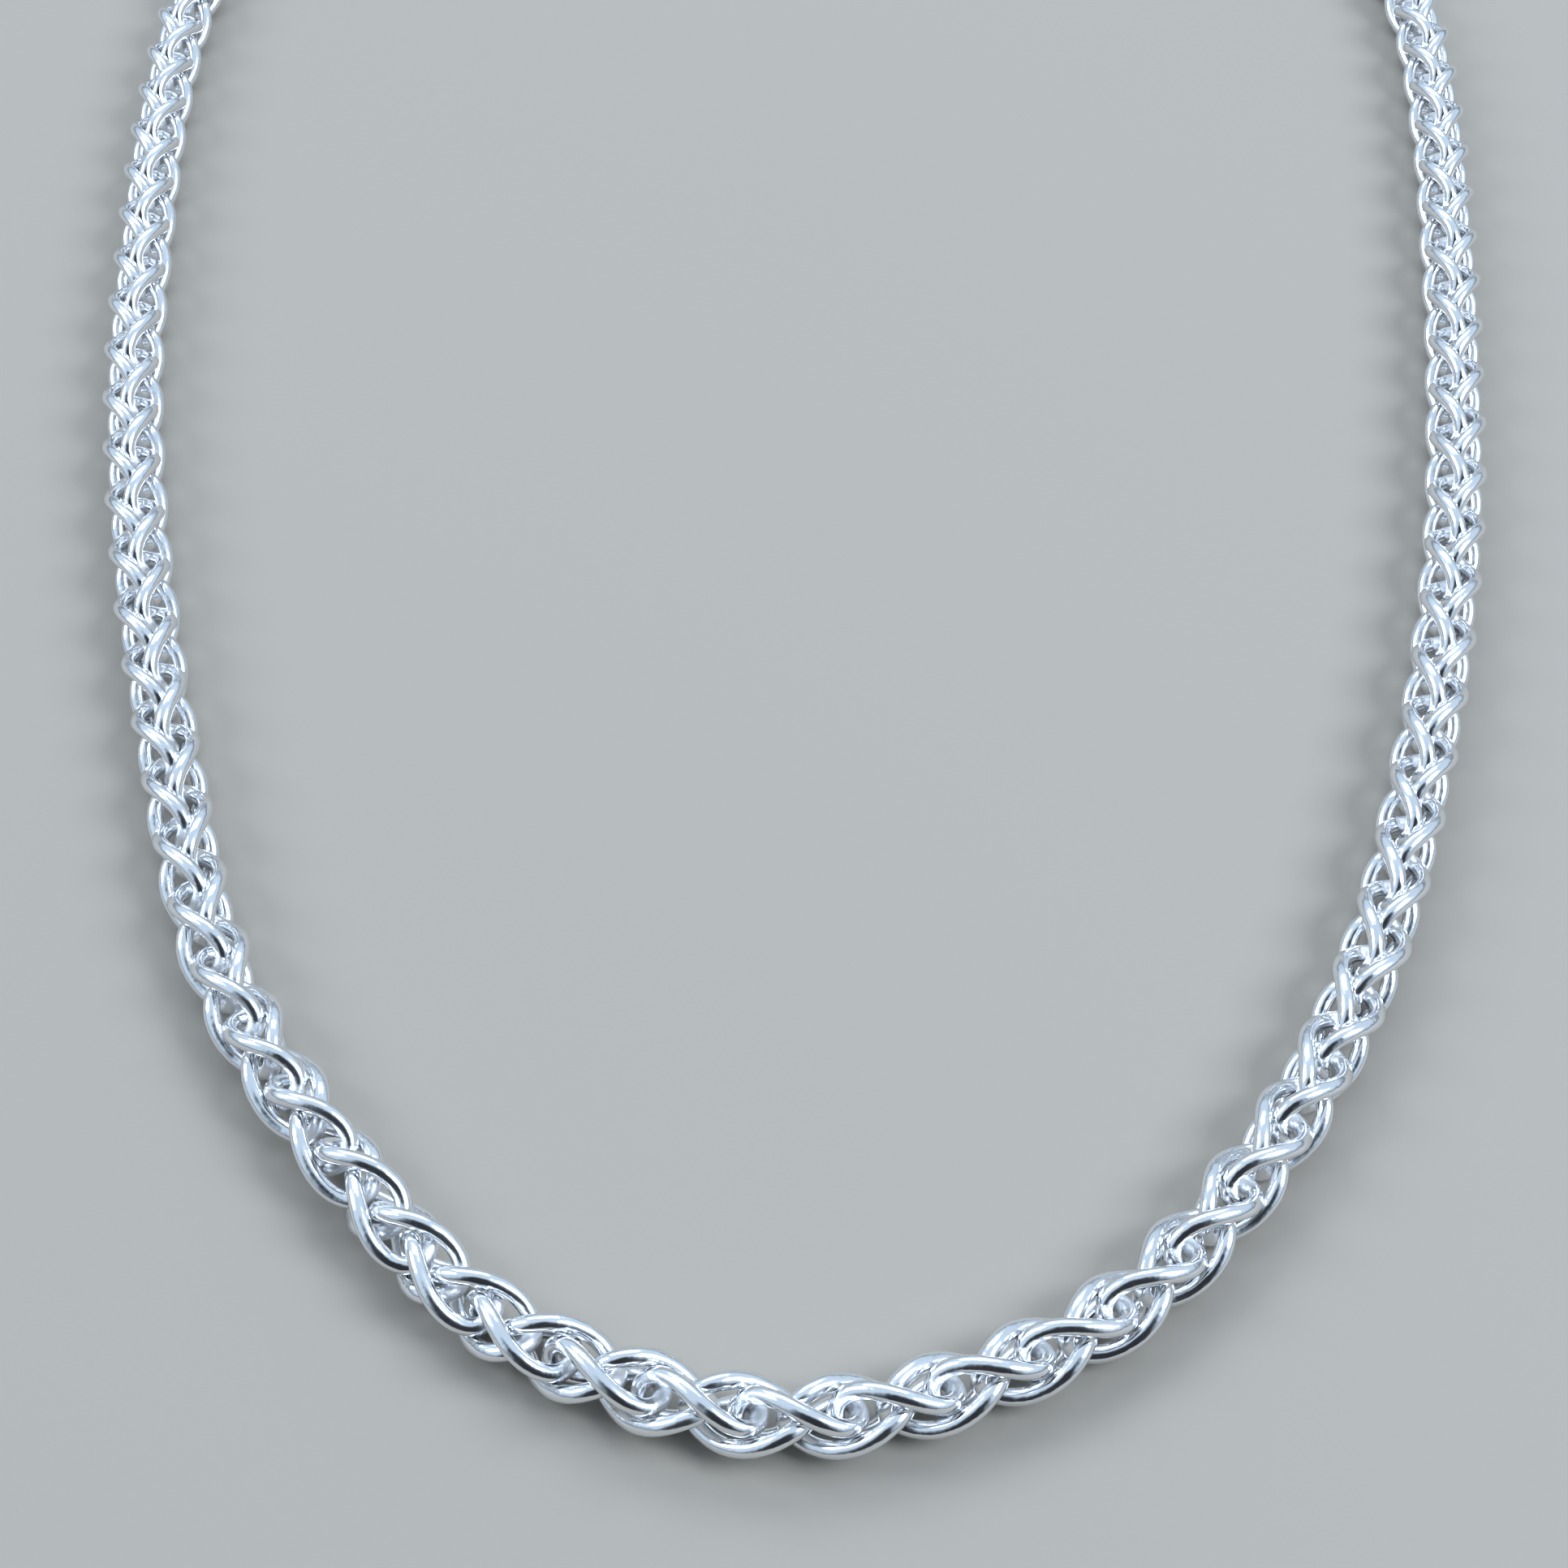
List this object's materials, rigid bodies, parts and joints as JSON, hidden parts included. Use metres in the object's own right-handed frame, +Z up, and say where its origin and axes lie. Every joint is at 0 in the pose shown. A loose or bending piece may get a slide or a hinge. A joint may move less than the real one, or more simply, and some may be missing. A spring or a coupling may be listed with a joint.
{
  "type": "wheat chain necklace",
  "caption": "Closed necklace of interlocking twisted oval silver links in a round braided wheat chain, joined by two wire rings and a plain hook clasp, lying flat.",
  "frame": {"origin": "middle of the loop's bounding box at table height", "axes": "+Z up from the table, -Y towards the front of the loop, +Y towards the clasp, +X to the right"},
  "size_m": [0.1109, 0.1756, 0.0049],
  "materials": {
    "polished_silver": "polished sterling silver, near white"
  },
  "bodies": {
    "root": {"chain_left_half": "polished_silver", "chain_right_half": "polished_silver", "end_ring_left": "polished_silver", "end_ring_right": "polished_silver", "clasp": "polished_silver"}
  },
  "joints": []
}
